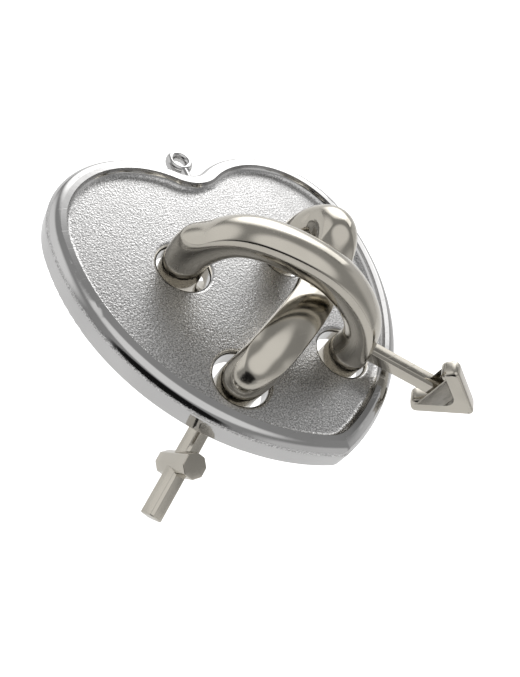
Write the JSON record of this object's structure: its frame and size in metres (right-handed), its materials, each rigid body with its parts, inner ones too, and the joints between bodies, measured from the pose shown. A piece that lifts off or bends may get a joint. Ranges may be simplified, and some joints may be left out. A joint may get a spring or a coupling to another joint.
{
  "type": "heart and arrow disentanglement puzzle",
  "caption": "Metal disentanglement puzzle: a dished heart plate with round holes and a hanging eyelet, and a thick woven arrow trapped in the holes.",
  "frame": {"origin": "centre of the four holes, on the flat back face of the plate", "axes": "+Z out of the dished face, +Y towards the notch and eyelet, +X to the right seen from the front"},
  "size_m": [0.0438, 0.0461, 0.0229],
  "materials": {
    "plate_metal": "bright chrome edges, sand-blasted dished face",
    "arrow_metal": "polished warm nickel"
  },
  "bodies": {
    "heart": {"heart_plate": "plate_metal", "hanging_eyelet": "plate_metal"},
    "arrow": {"arrow_bar": "arrow_metal", "head_shaft": "arrow_metal", "arrowhead": "arrow_metal", "tail_shaft": "arrow_metal", "tail_cross_pin": "arrow_metal"}
  },
  "joints": [
    {"name": "arrow_rattle", "type": "slide", "parent": "heart", "child": "arrow", "axis": [0, 0, 1], "range_m": [-0.0003, 0.0003]}
  ]
}
